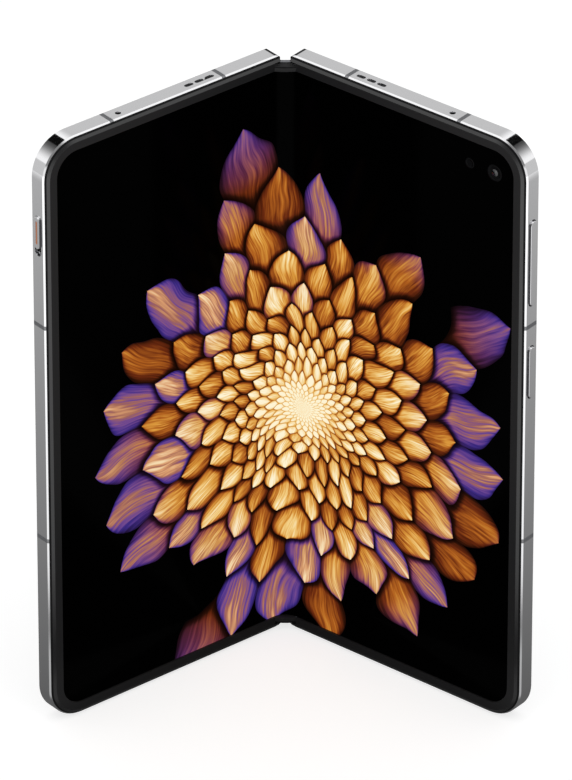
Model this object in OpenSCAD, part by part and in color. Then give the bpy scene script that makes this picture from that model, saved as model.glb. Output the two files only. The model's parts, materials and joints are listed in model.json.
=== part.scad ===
// Foldable smartphone, half open and standing on its lower edges.
// Each half is drawn in its own flat frame: x outwards from the fold, y from the
// front of the rim towards the back, z up from the lower edge.

/* [Body] */
// Height of the phone along the fold
height = 160; // [140:1:180]
// Width of one half from the fold to its outer edge
half_w = 73; // [60:1:85]
// Depth of one half from the front of the rim to the back
half_t = 5.4; // [5:0.1:6.5]
// Radius of the outer corners
corner_r = 9.5; // [6:0.5:16]
// Radius of the corners beside the fold
fold_corner_r = 2.2; // [1.5:0.1:3]
// Width of the bevels on the metal edges
edge_bevel = 0.34; // [0.1:0.02:0.6]
// Wall of the metal frame
wall = 2; // [1.6:0.1:3]
// Thickness of the plate behind the display
mid_plate = 0.5; // [0.4:0.05:0.8]
// Thickness of the back panels
back_t = 0.7; // [0.5:0.05:1]
// Ledge that carries a back panel
back_ledge = 0.7; // [0.5:0.1:1.2]
// Gap round a panel that drops into its recess
fit_gap = 0.05; // [0.02:0.01:0.1]

/* [Rim and display] */
// Height of the raised rim over the metal frame
rim_rise = 0.8; // [0.5:0.05:0.9]
// Width of the sloped flank of the rim
rim_flank = 1.1; // [0.6:0.05:2]
// Height of the upright step at the foot of the flank
rim_step = 0.15; // [0:0.05:0.25]
// Width of the rim from its foot to the display
rim_w = 3.2; // [2.2:0.1:4]
// Thickness of the flexible display
display_t = 0.3; // [0.2:0.02:0.4]
// Radius of the bend in the display, at rest
bend_r = 4.5; // [3:0.1:5]
// Half width of the guard over each end of the bend
guard_w = 2.6; // [1.8:0.1:2.8]
// Height of the guard over each end of the bend
guard_h = 1.45; // [1:0.05:2]
// Bulge of the front of the guard
guard_bulge = 0.3; // [0.1:0.05:0.5]

/* [Fold] */
// Distance of each half's end face from the middle plane when flat
face_x = 1.25; // [0.8:0.05:1.3]
// Angle of each half from flat, at rest
rest_angle = 39; // [30:0.5:45]
// Distance of each fold axis from the middle plane
axis_x = 1.85; // [1.7:0.05:2.2]
// Depth of the fold axes behind the front of the rim
axis_y = 1.8; // [1.6:0.05:2.1]
// Radius of the spine round each fold axis
spine_r = 2.75; // [2.5:0.05:3]
// Wall of the spine
spine_wall = 0.45; // [0.35:0.05:0.6]
// Depth of the front of the spine
spine_front = 1.3; // [1.2:0.05:1.5]
// Distance of the spine's ends from the ends of the frame
spine_end = 2.3; // [2.2:0.1:4]
// Clearance between the spine and the halves
spine_gap = 0.15; // [0.1:0.01:0.3]
// Clearance of the arc rails in their grooves
rail_gap = 0.05; // [0.03:0.01:0.1]
// Radial thickness of the arc rails
rail_t = 0.45; // [0.35:0.05:0.6]
// Height of one hinge arm
arm_h = 7; // [5:0.5:10]
// Height of one hinge bracket
bracket_h = 20; // [18:1:30]
// Radius of the hinge screws' shanks
hinge_screw_r = 0.5; // [0.4:0.05:0.7]

/* [Buttons] */
// Distance of the middle of the volume key from the top
volume_drop = 32; // [28:0.5:45]
// Length of the volume key
volume_l = 22.8; // [16:0.1:30]
// Distance of the middle of the power key from the top
power_drop = 61.8; // [58:0.1:75]
// Length of the power key
power_l = 13.8; // [8:0.1:20]
// Width of the keys
key_w = 2.2; // [1.4:0.1:2.6]
// Height of a key over the side of the frame
key_out = 0.45; // [0.3:0.05:0.8]
// Travel of the keys
key_travel = 0.25; // [0.1:0.05:0.3]
// Clearance along the sides of a key
key_gap = 0.12; // [0.05:0.01:0.2]
// Clearance at each end of a key
key_end = 0.35; // [0.1:0.05:0.5]
// Distance of the middle of the mute slider's slot from the top
mute_drop = 24.7; // [20:0.1:40]
// Length of the mute slider's slot
mute_l = 10.8; // [8:0.1:13]
// Travel of the mute slider
mute_travel = 2; // [1:0.1:3]

/* [Cameras and ports] */
// Distance of the inner camera from the outer edge
inner_cam_x = 9.6; // [8:0.1:14]
// Distance of the inner camera and sensor from the top
inner_cam_z = 10; // [8:0.1:14]
// Radius of the window of the inner camera
inner_cam_r = 2.2; // [1.5:0.1:3]
// Distance of the light sensor from the outer edge
sensor_x = 17; // [14:0.1:22]
// Radius of the window of the light sensor
sensor_r = 1.4; // [0.8:0.1:2]
// Side of the square rear camera island
island_w = 36; // [32:1:40]
// Height of the island over the back panel
island_h = 1.6; // [0.8:0.1:2.5]
// Radius of the island's corners
island_r = 9; // [4:0.5:14]
// Distance of the island from the outer edge
island_side = 9; // [8.5:0.5:14]
// Distance of the island from the top edge
island_top = 7; // [6.5:0.5:10]
// Distance of the lenses from the middle of the island, each way
lens_step = 7.6; // [7:0.1:9]
// Radius of a rear lens ring
lens_r = 6.4; // [4.5:0.1:6.8]
// Radius of the cover camera's window
cover_cam_r = 2; // [1.5:0.1:2.5]
// Width of the charging port
port_w = 8.94; // [8.5:0.02:9.5]
// Depth of the opening of the charging port
port_t = 2.56; // [2.4:0.02:2.8]
// Width of the tray for the subscriber card
tray_w = 14; // [12:0.5:18]
// Thickness of the tray
tray_t = 1.4; // [1:0.1:1.6]
// Length of the tray
tray_l = 22; // [18:1:28]

/* [Hidden] */

$fn = 64;
slip = 0.02;
layer_gap = 0.15;
side_gap = 0.4;
part_gap = 1.5;
beyond = 1;
bay_r = 1;
volume_z = height - volume_drop;
power_z = height - power_drop;
mute_z = height - mute_drop;
frame_front = rim_rise;
plate_back = frame_front + mid_plate;
back_front = half_t - back_t;
display_front = frame_front - display_t;
rim_foot = edge_bevel;
rim_inner = rim_foot + rim_w;
flank_end = rim_foot + rim_flank;

// the fold: clearances that follow from the axes and the spine
roll_r = axis_x - face_x;
cavity_r = spine_r + spine_gap;
cavity_end = spine_end - spine_gap;
front_x = axis_x + axis_y - spine_front + spine_gap;
hinge_wall = 1.25;
recess_x = axis_x + cavity_r + hinge_wall;
bay_x = recess_x + back_ledge;
inner_x = half_w - wall;

// the bend: an arc that touches both display planes
tilt_s = sin(rest_angle);
tilt_c = cos(rest_angle);
planes_meet = axis_y - (axis_y - display_front) / tilt_c + axis_x * tilt_s / tilt_c;
bend_y = planes_meet - bend_r / tilt_c;
bend_x = axis_x + (bend_r * tilt_s - axis_x + (axis_y - display_front) * tilt_s) / tilt_c;
rim_start = bend_x + slip;
rim_end = 1.9;

// where the phone stands: the middle of its outer box at rest
back_reach = axis_y + (axis_x - face_x) * tilt_s + (half_t - axis_y) * tilt_c;
front_reach = axis_y - (half_w - rim_foot - axis_x) * tilt_s
    - (axis_y - rim_rise + rim_step) * tilt_c;
rest_shift = -(back_reach + front_reach) / 2;

silver = [0.80, 0.80, 0.82];
dark = [0.16, 0.16, 0.17];
black = [0.03, 0.03, 0.04];
steel = [0.62, 0.63, 0.66];
copper = [0.78, 0.42, 0.18];
green = [0.10, 0.28, 0.20];
glassy = [0.10, 0.11, 0.13];
foil = [0.22, 0.23, 0.26];

// ---- placing -------------------------------------------------------------

module in_hinge() translate([0, rest_shift, 0]) children();

module on_right()
    translate([axis_x, axis_y + rest_shift, 0])
        rotate([0, 0, -rest_angle])
            translate([-axis_x, -axis_y, 0]) children();

module on_left() mirror([1, 0, 0]) on_right() children();

// Once at the lower edge and once, mirrored, at the upper edge
module both_ends() {
    children();
    translate([0, 0, height]) mirror([0, 0, 1]) children();
}

// Stands a flat outline up: its x stays x, its y becomes z, and it fills y0 to y1
module slab(y0, y1)
    translate([0, y1, 0]) rotate([90, 0, 0]) linear_extrude(height = y1 - y0) children();

// A box given by its two corners
module box(low, high) translate(low) cube(high - low);

// A round bar along y
module pin(x, z, r, y0, y1)
    translate([x, y1, z]) rotate([90, 0, 0]) cylinder(h = y1 - y0, r = r);

// ---- outlines ------------------------------------------------------------

// Rectangle with one radius on its outer corners and one beside the fold
module outline(x0, x1, z0, z1, ro, ri) {
    translate([x0 + ri, z0]) square([x1 - x0 - ri - ro, z1 - z0]);
    translate([x0, z0 + ri]) square([ri, z1 - z0 - 2 * ri]);
    translate([x1 - ro, z0 + ro]) square([ro, z1 - z0 - 2 * ro]);
    for (z = [z0 + ro, z1 - ro]) translate([x1 - ro, z]) circle(r = ro);
    for (z = [z0 + ri, z1 - ri]) translate([x0 + ri, z]) circle(r = ri);
}

// The outline of a half, drawn in by an inset on every side but the fold's
module half_outline(inset, x0, ri)
    outline(x0, half_w - inset, inset, height - inset, corner_r - inset, ri);

// A slot with round ends along the second axis
module slot_outline(l, w) {
    square([w, l - w], center = true);
    for (s = [-1, 1]) translate([0, s * (l - w) / 2]) circle(r = w / 2);
}

// Rectangle with four equal corners about its middle
module soft_rect(w, h, r) {
    square([w, h - 2 * r], center = true);
    square([w - 2 * r, h], center = true);
    for (i = [-1, 1]) for (j = [-1, 1])
        translate([i * (w / 2 - r), j * (h / 2 - r)]) circle(r = r);
}

// Carries a section, given as [distance in from the edge, depth], round the three
// open sides of a half
module round_edge(section) {
    straight = half_w - corner_r;
    translate([half_w, 0, corner_r]) linear_extrude(height = height - 2 * corner_r)
        polygon([for (p = section) [-p[0], p[1]]]);
    both_ends() {
        rotate([90, 0, 90]) linear_extrude(height = straight)
            polygon([for (p = section) [p[1], p[0]]]);
        translate([straight, 0, corner_r]) rotate([90, 0, 0]) rotate([0, 0, -90])
            rotate_extrude(angle = 90)
                polygon([for (p = section) [corner_r - p[0], -p[1]]]);
    }
}

// Sections that cut the bevels of the frame and the flank of the rim
over = 0.5;
front_bevel = [[edge_bevel + over, frame_front - over], [-over, frame_front + edge_bevel + over],
    [-over, frame_front - over]];
back_bevel = [[edge_bevel + over, half_t + over], [-over, half_t - edge_bevel - over],
    [-over, half_t + over]];
flank_rise = (rim_rise - rim_step) * over / rim_flank;
flank = [[flank_end + over, -flank_rise], [rim_foot - over, rim_rise - rim_step + flank_rise],
    [rim_foot - over, -flank_rise]];

// ---- frames --------------------------------------------------------------

// Space that the spine and the other half sweep through
module fold_clearance() {
    translate([axis_x, axis_y, cavity_end])
        cylinder(h = height - 2 * cavity_end, r = cavity_r);
    box([-beyond, -beyond, cavity_end], [front_x, axis_y, height - cavity_end]);
    box([-beyond, axis_y - beyond, cavity_end], [axis_x, axis_y + cavity_r, height - cavity_end]);
    difference() {
        box([-beyond, -beyond, -beyond], [axis_x, axis_y, height + beyond]);
        translate([axis_x, axis_y, -2 * beyond]) cylinder(h = height + 4 * beyond, r = roll_r);
    }
}

// The frame of one half; side is 1 for the right half and -1 for the left
module frame(side)
    color(silver) difference() {
        union() {
            difference() {
                slab(frame_front, half_t) half_outline(0, face_x, fold_corner_r);
                slab(plate_back, half_t + beyond)
                    outline(bay_x, inner_x, wall, height - wall, corner_r - wall, bay_r);
                slab(back_front, half_t + beyond) recess_outline(0);
            }
            for (z = module_z) arm_boss(z + side * arm_offset);
        }
        fold_clearance();
        round_edge(front_bevel);
        round_edge(back_bevel);
        for (z = module_z) arm_pocket(z + side * arm_offset);
        both_ends() {
            sound_slots(0, -beyond, wall + beyond);
            translate([mic_x, sound_y, -beyond]) cylinder(h = wall + 2 * beyond, r = mic_r);
        }
        antenna_slots(0);
        if (side > 0) right_openings();
        else left_openings();
    }

// Outline of the back panel's recess, drawn in by a gap
module recess_outline(gap) {
    edge = wall - back_ledge + gap;
    outline(recess_x + gap, half_w - edge, edge, height - edge, corner_r - edge, bay_r);
}

module right_openings() {
    side_slot(volume_z, volume_l + 2 * key_end, key_w + 2 * key_gap);
    side_slot(power_z, power_l + 2 * key_end, key_w + 2 * key_gap);
    pin(half_w - inner_cam_x, height - inner_cam_z, inner_cam_r, 0, half_t / 2);
    pin(half_w - sensor_x, height - inner_cam_z, sensor_r, 0, half_t / 2);
    translate([port_x, sound_y, -beyond]) linear_extrude(height = wall + 2 * beyond)
        rotate(90) slot_outline(port_out_w + 2 * slip, port_out_t + 2 * slip);
}

module left_openings() {
    side_slot(mute_z, mute_l, key_w + 2 * key_gap);
    box([tray_x - tray_w / 2 - fit_gap, tray_y - tray_t / 2 - fit_gap, -beyond],
        [tray_x + tray_w / 2 + fit_gap, tray_y + tray_t / 2 + fit_gap, wall + beyond]);
}

// A slot with round ends through the outer side wall
module side_slot(z, l, w)
    translate([inner_x - beyond, key_y, z]) rotate([90, 0, 90])
        linear_extrude(height = wall + 2 * beyond) slot_outline(l, w);

// Three sound slots and a microphone hole in each short edge
sound_y = 2.9;
slot_pitch = 3.1;
slot_first = 21.6;
slot_l = 2.5;
slot_w = 1.15;
mic_x = 49;
mic_r = 0.75;
module sound_slots(gap, z0, z1)
    for (i = [0 : 2])
        translate([slot_first + i * slot_pitch, sound_y, z0])
            linear_extrude(height = z1 - z0)
                rotate(90) slot_outline(slot_l - 2 * gap, slot_w - 2 * gap);

mesh_t = 0.3;
mesh_depth = 0.5;
module meshes() color(dark) both_ends() sound_slots(slip, mesh_depth, mesh_depth + mesh_t);

// ---- antenna inserts -----------------------------------------------------

antenna_w = 1.1;
antenna_depth = 0.9;
antenna_above = 5.9;
antenna_drop = power_drop - power_l / 2 - antenna_above;
antenna_low = 52;
antenna_z = [height - antenna_drop, antenna_low];
antenna_x = [18.8, 52.4];
module antenna_slots(gap) {
    w = antenna_w / 2 - gap;
    d = antenna_depth - gap;
    for (z = antenna_z)
        box([half_w - d, frame_front - beyond, z - w], [half_w + beyond, half_t + beyond, z + w]);
    both_ends() for (x = antenna_x)
        box([x - w, frame_front - beyond, -beyond], [x + w, half_t + beyond, d]);
}

module antenna_inserts()
    color(dark) difference() {
        intersection() {
            slab(frame_front, half_t) half_outline(0, face_x, fold_corner_r);
            antenna_slots(slip);
        }
        round_edge(front_bevel);
        round_edge(back_bevel);
    }

// ---- rims and display ----------------------------------------------------

// Raised rim with a sloped flank, cut back for the guard and rounded at the fold
module rim()
    color(dark) difference() {
        slab(0, frame_front) difference() {
            half_outline(rim_foot, rim_end, fold_corner_r - rim_foot);
            outline(-corner_r, half_w - rim_inner, rim_inner, height - rim_inner,
                corner_r - rim_inner, bay_r);
        }
        round_edge(flank);
        both_ends() box([0, -beyond, flank_end], [rim_start, half_t, corner_r]);
    }

module display_panel(side)
    color(black) difference() {
        slab(display_front, frame_front)
            outline(bend_x, half_w - rim_inner - fit_gap, rim_inner + fit_gap,
                height - rim_inner - fit_gap, corner_r - rim_inner, fit_gap);
        if (side > 0) {
            pin(half_w - inner_cam_x, height - inner_cam_z, inner_cam_r, 0, half_t);
            pin(half_w - sensor_x, height - inner_cam_z, sensor_r, 0, half_t);
        }
    }

// Wedge between the display's two planes, as seen from the middle of the bend
module bend_wedge() {
    far = 20;
    translate([0, bend_y])
        polygon([[0, 0], [far * tilt_s, far * tilt_c], [-far * tilt_s, far * tilt_c]]);
}

guard_end = rim_inner - guard_h;
fold_low = rim_inner + fit_gap;
module display_fold()
    color(black) in_hinge() translate([0, 0, fold_low])
        linear_extrude(height = height - 2 * fold_low) intersection() {
            difference() {
                translate([0, bend_y]) circle(r = bend_r + display_t);
                translate([0, bend_y]) circle(r = bend_r);
            }
            bend_wedge();
        }

// Flexible guards: a lens-shaped lip over each end of the bend, and a foot behind it
// that reaches to the spine
guard_front = -1.35;
guard_curve = (guard_w * guard_w + guard_bulge * guard_bulge) / (2 * guard_bulge);
foot_w = 0.5;
module fold_guards()
    color(dark) in_hinge() both_ends() {
        translate([0, 0, guard_end]) linear_extrude(height = guard_h) guard_lip();
        translate([0, 0, spine_end]) linear_extrude(height = guard_end + guard_h - spine_end)
            translate([-foot_w, bend_y + bend_r])
                square([2 * foot_w, spine_front - fit_gap - bend_y - bend_r]);
    }
module guard_lip()
    intersection() {
        translate([0, bend_y]) circle(r = bend_r + display_t - slip);
        translate([0, guard_front + guard_curve]) circle(r = guard_curve);
        translate([-guard_w, guard_front - beyond]) square([2 * guard_w, half_t]);
    }

// ---- hinge ---------------------------------------------------------------

// Section of the spine for a given radius, cut off at its front
module spine_section(r, front)
    difference() {
        union() {
            for (s = [-1, 1]) translate([s * axis_x, axis_y]) circle(r = r);
            translate([-axis_x, axis_y - r]) square([2 * axis_x, 2 * r]);
        }
        translate([-half_w, front - half_w]) square([2 * half_w, half_w]);
    }

spine_in_r = spine_r - spine_wall;
cap_head = 2.4;
cap_plug = 3;
module hinge_spine()
    color(steel) in_hinge() translate([0, 0, spine_end + cap_head])
        linear_extrude(height = height - 2 * (spine_end + cap_head)) difference() {
            spine_section(spine_r, spine_front);
            spine_section(spine_in_r, spine_front - beyond);
        }

// End caps: a head with a sloped back, and a plug inside the shell
cap_slope_y = 2.4;
cap_slope_z = 1.4;
module spine_end_caps()
    color(dark) in_hinge() both_ends() {
        difference() {
            translate([0, 0, spine_end]) linear_extrude(height = cap_head)
                spine_section(spine_r, spine_front);
            translate([-half_w, 0, spine_end]) rotate([90, 0, 90])
                linear_extrude(height = 2 * half_w)
                    polygon([[cap_slope_y, -beyond], [cap_slope_y, 0],
                        [axis_y + spine_r, cap_slope_z], [half_t, cap_slope_z], [half_t, -beyond]]);
        }
        translate([0, 0, spine_end + cap_head]) linear_extrude(height = cap_plug)
            spine_section(spine_in_r - slip, spine_front);
    }

rail_out = spine_in_r - rail_gap;
rail_in = rail_out - rail_t;
rail_to = 140;
arm_front = frame_front + slip;
arm_back = plate_back;
rail_from = -asin((axis_y - arm_front - rail_gap) / rail_out);
neck_from = axis_x + rail_in * cos(rail_from) + rail_gap;
flange_from = axis_x + cavity_r + layer_gap;
flange_l = 3.6;
flange_to = flange_from + flange_l;
screw_head_r = 0.9;
screw_head_t = 0.25;
arm_screw_x = flange_to - screw_head_r - hinge_screw_r;
boss_t = 1.4;
boss_rim = 0.7;
module_end = 24;
module_z = [module_end, height / 2, height - module_end];
arm_apart = 1.1;
arm_offset = arm_h / 2 + arm_apart;

// One arm: an arc rail round the fold axis, a neck, and a flange with two screw holes
module arm(z)
    difference() {
        union() {
            translate([axis_x, axis_y, z - arm_h / 2]) rotate([0, 0, rail_from])
                rotate_extrude(angle = rail_to - rail_from)
                    translate([rail_in, 0]) square([rail_t, arm_h]);
            box([neck_from, arm_front, z - arm_h / 2], [flange_to, arm_back, z + arm_h / 2]);
        }
        arm_screws(z, 0) {
            pin(arm_screw_x, 0, screw_head_r + slip, 0, arm_front + screw_head_t);
            pin(arm_screw_x, 0, hinge_screw_r + slip, 0, half_t);
        }
    }

// Repeats a screw or its hole at both screw places of an arm
module arm_screws(z, y) for (s = [-1, 1]) translate([0, y, z + s * arm_h / 4]) children();

module arms(side) color(steel) for (z = module_z) arm(z + side * arm_offset);

// Block under the flange of an arm
module arm_boss(z)
    box([recess_x - beyond, plate_back - slip, z - arm_h / 2 - boss_rim],
        [flange_to + boss_rim, plate_back + boss_t, z + arm_h / 2 + boss_rim]);

// Pocket through the plate for an arm, with the screw holes in the boss
module arm_pocket(z) {
    box([0, -beyond, z - arm_h / 2 - fit_gap],
        [flange_to + fit_gap, arm_back, z + arm_h / 2 + fit_gap]);
    arm_screws(z, 0) pin(arm_screw_x, 0, hinge_screw_r, 0, plate_back + boss_t + beyond);
}

module hinge_screws(side)
    color(steel) for (z = module_z) arm_screws(z + side * arm_offset, 0) {
        pin(arm_screw_x, 0, screw_head_r, arm_front + slip, arm_front + screw_head_t);
        pin(arm_screw_x, 0, hinge_screw_r - slip, arm_front + screw_head_t - slip,
            plate_back + boss_t);
    }

// Brackets in the spine with an arc groove for each arm
module hinge_brackets()
    color(steel) in_hinge() for (z = module_z) difference() {
        translate([0, 0, z - bracket_h / 2]) linear_extrude(height = bracket_h)
            spine_section(spine_in_r - slip, spine_front);
        for (s = [-1, 1])
            translate([s * axis_x, axis_y, z + s * arm_offset - arm_h / 2 - rail_gap])
                rotate_extrude() translate([rail_in - rail_gap, 0])
                    square([spine_r, arm_h + 2 * rail_gap]);
    }

// ---- keys and slider -----------------------------------------------------

key_y = 3.05;
key_foot = 0.5;
key_lip = 0.3;
foot_end = 0.7;
key_rest_gap = 0.05;
key_back = inner_x - key_rest_gap - key_foot;

// A key: a rounded cap through the side wall and a wider foot that keeps it in
module key(z, l) {
    translate([key_back + key_foot, key_y, z]) rotate([90, 0, 90])
        linear_extrude(height = half_w + key_out - key_back - key_foot) slot_outline(l, key_w);
    translate([key_back, key_y, z]) rotate([90, 0, 90])
        linear_extrude(height = key_foot) slot_outline(l + 2 * foot_end, key_w + 2 * key_lip);
}
module volume_key() color(silver) on_right() key(volume_z, volume_l);
module power_key() color(silver) on_right() key(power_z, power_l);

// Switch strips on the plate behind the keys
switch_t = 1.2;
switch_end = 1;
switch_back = 0.7;
switch_x = key_back - key_travel - fit_gap;
module key_switches()
    color(foil) on_right() for (k = [[volume_z, volume_l], [power_z, power_l]])
        box([switch_x - switch_t, plate_back, k[0] - k[1] / 2 + switch_end],
            [switch_x, key_y + switch_back, k[0] + k[1] / 2 - switch_end]);

// The slider's cap rests at the upper end of its slot
mute_cap_l = mute_l - mute_travel - 2 * key_gap;
mute_cap_z = mute_z + mute_travel / 2;
inlay_l = 6.2;
inlay_w = 0.6;
inlay_t = 0.3;
module mute_slider()
    color(silver) on_left() difference() {
        key(mute_cap_z, mute_cap_l);
        translate([half_w + key_out - inlay_t, key_y, mute_cap_z]) rotate([90, 0, 90])
            linear_extrude(height = beyond) slot_outline(inlay_l, inlay_w);
    }
module mute_inlay()
    color(copper) on_left()
        translate([half_w + key_out - inlay_t + slip, key_y, mute_cap_z]) rotate([90, 0, 90])
            linear_extrude(height = inlay_t - 2 * slip) slot_outline(inlay_l - slip, inlay_w - slip);
module mute_switch()
    color(foil) on_left()
        box([key_back - fit_gap - switch_t, plate_back, mute_z - mute_l / 2],
            [key_back - fit_gap, key_y + switch_back, mute_z + mute_l / 2]);

// ---- inside the left half ------------------------------------------------

part_x = flange_to + part_gap;
part_end = switch_x - switch_t - side_gap;
part_r = 1.5;
cover_panel_t = 0.75;
left_part_back = back_front - slip - cover_panel_t - layer_gap;
tray_x = 39;
tray_y = 2.7;
board_t = 0.8;
bay_top = 30.5;
over_tray = 14;
left_battery_z = [tray_l + over_tray, height - bay_top - part_gap];

module soft_box(x0, x1, z0, z1, y0, y1, r)
    translate([(x0 + x1) / 2, 0, (z0 + z1) / 2]) slab(y0, y1) soft_rect(x1 - x0, z1 - z0, r);

module left_battery()
    color(foil) on_left() soft_box(part_x, part_end, left_battery_z[0], left_battery_z[1],
        plate_back, left_part_back, part_r);

module cover_glass()
    color(glassy) on_left() difference() {
        slab(back_front, half_t) recess_outline(fit_gap);
        pin(cover_cam_x, cover_cam_z, cover_cam_r + slip, 0, half_t + beyond);
    }
cover_cam_drop = 9;
cover_cam_box = 3.2;
cover_cam_x = (recess_x + half_w) / 2;
cover_cam_z = height - cover_cam_drop;
panel_inset = 0.5;
module cover_display()
    color(black) on_left() difference() {
        slab(back_front - slip - cover_panel_t, back_front - slip)
            outline(bay_x + panel_inset, part_end, wall + panel_inset, height - wall - panel_inset,
                corner_r - wall - panel_inset, bay_r);
        pin(cover_cam_x, cover_cam_z, cover_cam_r + slip, 0, half_t + beyond);
    }
module cover_camera()
    color(glassy) on_left() {
        pin(cover_cam_x, cover_cam_z, cover_cam_r, left_part_back - panel_inset, half_t - slip);
        soft_box(cover_cam_x - cover_cam_box, cover_cam_x + cover_cam_box,
            cover_cam_z - cover_cam_box, cover_cam_z + cover_cam_box,
            plate_back, left_part_back, lens_box_r);
    }
lens_box_r = 0.6;
module left_board()
    color(green) on_left() difference() {
        soft_box(part_x, part_end, height - bay_top, height - wall - side_gap, plate_back,
            plate_back + board_t, part_r);
        soft_box(cover_cam_x - cover_cam_box - side_gap, cover_cam_x + cover_cam_box + side_gap,
            cover_cam_z - cover_cam_box - side_gap, cover_cam_z + cover_cam_box + side_gap,
            0, half_t, lens_box_r + side_gap);
        pin(part_end, height - wall, corner_r - wall, 0, half_t);
    }
speaker_l = 16;
speaker_h = 12.6;
module left_speaker()
    color(dark) on_left() soft_box(cover_cam_x - cover_cam_box - part_gap - speaker_l,
        cover_cam_x - cover_cam_box - part_gap, height - wall - side_gap - speaker_h,
        height - wall - side_gap, plate_back + board_t, left_part_back, part_r);

// Tray: a bar in the frame's slot, and a thinner frame with a pocket for the card
tray_side = 0.2;
tray_skin = 0.15;
tray_inset = 0.05;
card_w = 8.8;
card_l = 12.3;
card_rim = 2;
eject_r = 0.35;
eject_in = 2;
module card_tray()
    color(silver) on_left() difference() {
        union() {
            box([tray_x - tray_w / 2, tray_y - tray_t / 2, tray_inset],
                [tray_x + tray_w / 2, tray_y + tray_t / 2, wall]);
            box([tray_x - tray_w / 2 + tray_side, tray_y - tray_t / 2 + tray_skin, wall - slip],
                [tray_x + tray_w / 2 - tray_side, tray_y + tray_t / 2 - tray_skin, tray_l]);
        }
        box([tray_x - card_w / 2, tray_y - tray_t / 2 + side_gap, tray_l - card_rim - card_l],
            [tray_x + card_w / 2, half_t, tray_l - card_rim]);
        translate([tray_x - tray_w / 2 + eject_in, tray_y, -beyond])
            cylinder(h = wall, r = eject_r);
    }
reader_wall = 0.6;
reader_top = 0.4;
module card_reader()
    color(steel) on_left() difference() {
        box([tray_x - tray_w / 2 - reader_wall, plate_back, wall + tray_side],
            [tray_x + tray_w / 2 + reader_wall, tray_y + tray_t / 2 + reader_top,
                tray_l + reader_wall]);
        box([tray_x - tray_w / 2, tray_y - tray_t / 2, -beyond],
            [tray_x + tray_w / 2, tray_y + tray_t / 2, tray_l + tray_side]);
    }

magnet_high = 64;
magnet_low = 36;
magnet_z = [magnet_high, magnet_low];
magnet_l = 12;
magnet_t = 1.8;
module magnets()
    color(steel) for (z = magnet_z)
        box([part_end + side_gap, plate_back, z - magnet_l / 2],
            [inner_x - layer_gap, plate_back + magnet_t, z + magnet_l / 2]);

// ---- inside the right half -----------------------------------------------

board_drop = 70;
right_battery_low = 28;
board_low = height - board_drop;
right_battery_z = [right_battery_low, board_low - part_gap];
island_mid_x = half_w - island_side - island_w / 2;
island_mid_z = height - island_top - island_w / 2;
module_half = 5.2;
camera_low = island_mid_z - lens_step - module_half;
camera_left = island_mid_x - lens_step - module_half;
lens_places = [[-1, 1], [1, 1], [-1, -1]];
port_x = 38;
port_wall = 0.25;
port_out_w = port_w + 2 * port_wall;
port_out_t = port_t + 2 * port_wall;
port_l = 7.2;
port_inset = 0.15;
port_behind = 0.5;
tongue_w = 6.7;
tongue_t = 0.7;
tongue_in = 1;

coil_t = 0.4;
coil_r = 24;
coil_hole_r = 14;
coil_back = back_front - layer_gap;
module right_battery()
    color(foil) on_right() soft_box(part_x, part_end, right_battery_z[0], right_battery_z[1],
        plate_back, coil_back - coil_t - slip, part_r);
module charging_coil()
    color(copper) on_right()
        translate([port_x, 0, (right_battery_z[0] + right_battery_z[1]) / 2])
            slab(coil_back - coil_t, coil_back) difference() {
                circle(r = coil_r);
                circle(r = coil_hole_r);
            }
board_top = height - wall - part_gap;
board_right = camera_left - 2 * side_gap;
module board_outline() {
    translate([part_x, board_low]) square([part_end - part_x, camera_low - part_gap - board_low]);
    translate([part_x, board_low]) square([board_right - part_x, board_top - board_low]);
}
board_screw_in = 2;
board_screw_r = 0.5;
board_screw_head = 1;
board_screw_at = [[part_x + board_screw_in, board_low + board_screw_in],
    [part_end - board_screw_in, board_low + board_screw_in],
    [part_x + board_screw_in, board_top - board_screw_in],
    [part_end - board_screw_in, camera_low - part_gap - board_screw_in]];
module main_board()
    color(green) on_right() difference() {
        slab(plate_back, plate_back + board_t) board_outline();
        for (p = board_screw_at) pin(p[0], p[1], board_screw_r + fit_gap, 0, half_t);
    }
module board_screws()
    color(steel) on_right() for (p = board_screw_at) {
        pin(p[0], p[1], board_screw_head, plate_back + board_t,
            plate_back + board_t + screw_head_t);
        pin(p[0], p[1], board_screw_r, plate_back + slip, plate_back + board_t + slip);
    }
shield_in = 4;
shield_r = 0.8;
shield_t = 1.7;
low_shield_t = 1.4;
module processor_shield()
    color(steel) on_right() {
        soft_box(part_x + shield_in, board_right - part_gap, camera_low, board_top - shield_in,
            plate_back + board_t, plate_back + board_t + shield_t, shield_r);
        soft_box(part_x + shield_in, part_end - 2 * shield_in, board_low + shield_in,
            camera_low - shield_in, plate_back + board_t, plate_back + board_t + low_shield_t,
            shield_r);
    }
module right_speaker()
    color(dark) on_right() soft_box(part_x, port_x - port_out_w / 2 - part_gap, wall + side_gap,
        right_battery_low - part_gap, plate_back, back_front - 2 * layer_gap, part_r);
motor_l = 12;
motor_w = 10;
motor_t = 2.6;
motor_z = 8;
motor_x = port_x + port_out_w / 2 + part_gap;
module vibration_motor()
    color(steel) on_right() soft_box(motor_x, motor_x + motor_l, motor_z, motor_z + motor_w,
        plate_back, plate_back + motor_t, bay_r);

// Charging port: an oval shell through the lower edge, its block and its tongue
module charging_port()
    color(steel) on_right() translate([port_x, sound_y, 0]) {
        difference() {
            union() {
                translate([0, 0, port_inset]) linear_extrude(height = wall + port_behind)
                    rotate(90) slot_outline(port_out_w, port_out_t);
                translate([-port_out_w / 2, plate_back - sound_y, wall + layer_gap])
                    cube([port_out_w, port_out_t / 2 + sound_y - plate_back, port_l]);
            }
            translate([0, 0, -beyond]) linear_extrude(height = port_l + beyond)
                rotate(90) slot_outline(port_w, port_t);
        }
        translate([-tongue_w / 2, -tongue_t / 2, tongue_in]) cube([tongue_w, tongue_t, port_l]);
    }

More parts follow.
